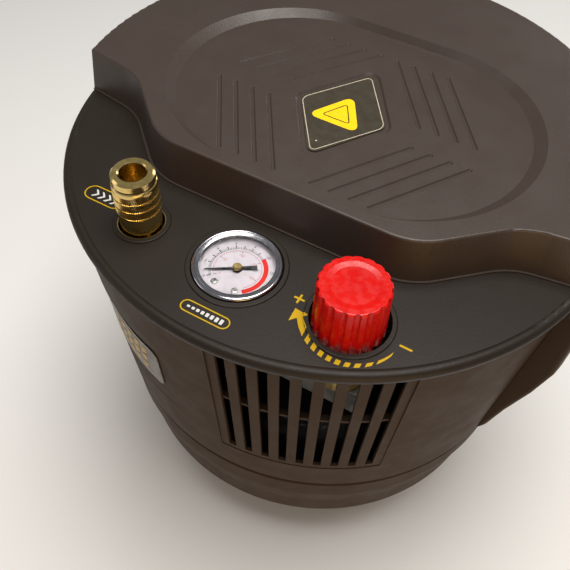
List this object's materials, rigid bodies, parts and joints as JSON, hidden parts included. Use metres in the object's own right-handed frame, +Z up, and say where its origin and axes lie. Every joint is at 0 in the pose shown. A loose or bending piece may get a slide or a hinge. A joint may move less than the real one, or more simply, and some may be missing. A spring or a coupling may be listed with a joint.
{
  "type": "air compressor",
  "caption": "Compact round oil-free air compressor with a moulded casing, raised lid, quick coupler, pressure gauge and regulator knob over a small steel tank.",
  "frame": {"origin": "centre of the footprint on the floor, under the casing axis", "axes": "+Z up, the console with its coupler, gauge and knob at -Y, right side at +X"},
  "size_m": [0.3792, 0.3602, 0.375],
  "materials": {
    "casing": "fine moulded texture",
    "console": "fine moulded texture",
    "label_film": "printed film",
    "badge_film": "printed film",
    "tank_paint": "black enamel",
    "steel": "zinc plated",
    "alloy": "die cast",
    "copper_wound": "laminations with enamelled copper",
    "rubber": "soft",
    "brass": "polished",
    "chrome": "polished",
    "dial_white": "white enamel",
    "needle_black": "black",
    "clear_glass": "clear",
    "knob_red": "satin",
    "black_plastic": "moulded",
    "fan_plastic": "moulded",
    "tube_black": "drawn tube"
  },
  "bodies": {
    "housing": {"upper_shroud": "casing", "lower_skirt": "casing", "casing_screws": "steel", "console_cover": "console", "top_lid": "casing", "lid_label": "label_film", "flank_badge": "badge_film", "side_grip_left": "casing", "side_grip_right": "casing", "air_tank": "tank_paint", "tank_brackets": "tank_paint", "rubber_feet": "rubber", "foot_bolts": "steel", "vibration_mounts": "rubber", "pump_deck": "steel", "motor_stator": "copper_wound", "motor_end_cover": "alloy", "shaft_bearings": "steel", "crankcase": "alloy", "pump_cylinder": "alloy", "valve_plate": "steel", "cylinder_head": "alloy", "head_bolts": "steel", "intake_filter": "black_plastic", "delivery_tube": "alloy", "supply_tube": "brass", "check_valve": "brass", "manifold": "alloy", "pressure_switch": "black_plastic", "unloader_tube": "tube_black", "run_capacitor": "alloy", "gauge_case": "steel", "bourdon_tube": "brass", "gauge_movement": "brass", "gauge_dial": "dial_white", "dial_screws": "steel", "gauge_lens": "clear_glass", "gauge_bezel": "chrome", "coupler_body": "brass", "coupler_spring": "steel", "valve_spring": "steel", "regulator_body": "brass", "regulator_bonnet": "black_plastic", "regulator_spring": "steel", "switch_frame": "black_plastic", "cord_gland": "black_plastic", "safety_valve": "brass", "drain_valve": "brass"},
    "pump_rotor": {"rotor_shaft": "steel", "cooling_fan": "fan_plastic", "crank": "steel"},
    "piston": {"piston_rod": "alloy"},
    "needle": {"gauge_needle": "needle_black"},
    "coupler_collar": {"coupler_sleeve": "brass"},
    "coupler_poppet": {"coupler_valve": "brass"},
    "knob": {"regulator_knob": "knob_red"},
    "seat": {"spring_seat": "steel"},
    "rocker": {"switch_rocker": "knob_red"},
    "safety_pull": {"safety_ring": "steel"},
    "drain_screw": {"drain_knob": "black_plastic"}
  },
  "joints": [
    {"name": "motor_spin", "type": "hinge", "parent": "housing", "child": "pump_rotor", "pos_m": [0, 0.025, 0.238], "axis": [1, 0, 0], "continuous": true},
    {"name": "piston_stroke", "type": "slide", "parent": "housing", "child": "piston", "axis": [0, 0, 1], "range_m": [-0.02, 0]},
    {"name": "needle_turn", "type": "hinge", "parent": "housing", "child": "needle", "pos_m": [-0.0025, -0.125, 0.335], "axis": [0, 0, 1], "range_deg": [-257, 0]},
    {"name": "collar_slide", "type": "slide", "parent": "housing", "child": "coupler_collar", "axis": [0, 0, 1], "range_m": [-0.004, 0], "stiffness_N_per_m": 1500, "springref_m": 0.004, "deforming": ["coupler_spring"]},
    {"name": "poppet_slide", "type": "slide", "parent": "housing", "child": "coupler_poppet", "axis": [0, 0, 1], "range_m": [-0.005, 0], "stiffness_N_per_m": 400, "springref_m": 0.004, "deforming": ["valve_spring"]},
    {"name": "knob_turn", "type": "hinge", "parent": "housing", "child": "knob", "pos_m": [0.0684, -0.1254, 0.335], "axis": [0, 0, 1], "range_deg": [-900, 0]},
    {"name": "seat_travel", "type": "slide", "parent": "housing", "child": "seat", "axis": [0, 0, 1], "range_m": [-0.0038, 0], "deforming": ["regulator_spring"]},
    {"name": "switch_tilt", "type": "hinge", "parent": "housing", "child": "rocker", "pos_m": [-0.03475, 0.16349, 0.225], "axis": [-0.9781, -0.2079, 0], "range_deg": [0, 16]},
    {"name": "safety_pull", "type": "slide", "parent": "housing", "child": "safety_pull", "axis": [0.342, 0.9397, 0], "range_m": [0, 0.004], "stiffness_N_per_m": 1500, "springref_m": -0.003},
    {"name": "drain_turn", "type": "hinge", "parent": "housing", "child": "drain_screw", "pos_m": [0, 0.119, 0.017], "axis": [0, 1, 0], "range_deg": [0, 540]}
  ],
  "couplings": [
    {"joint": "seat_travel", "follows": "knob_turn", "m_per_rad": 0.00023873}
  ]
}
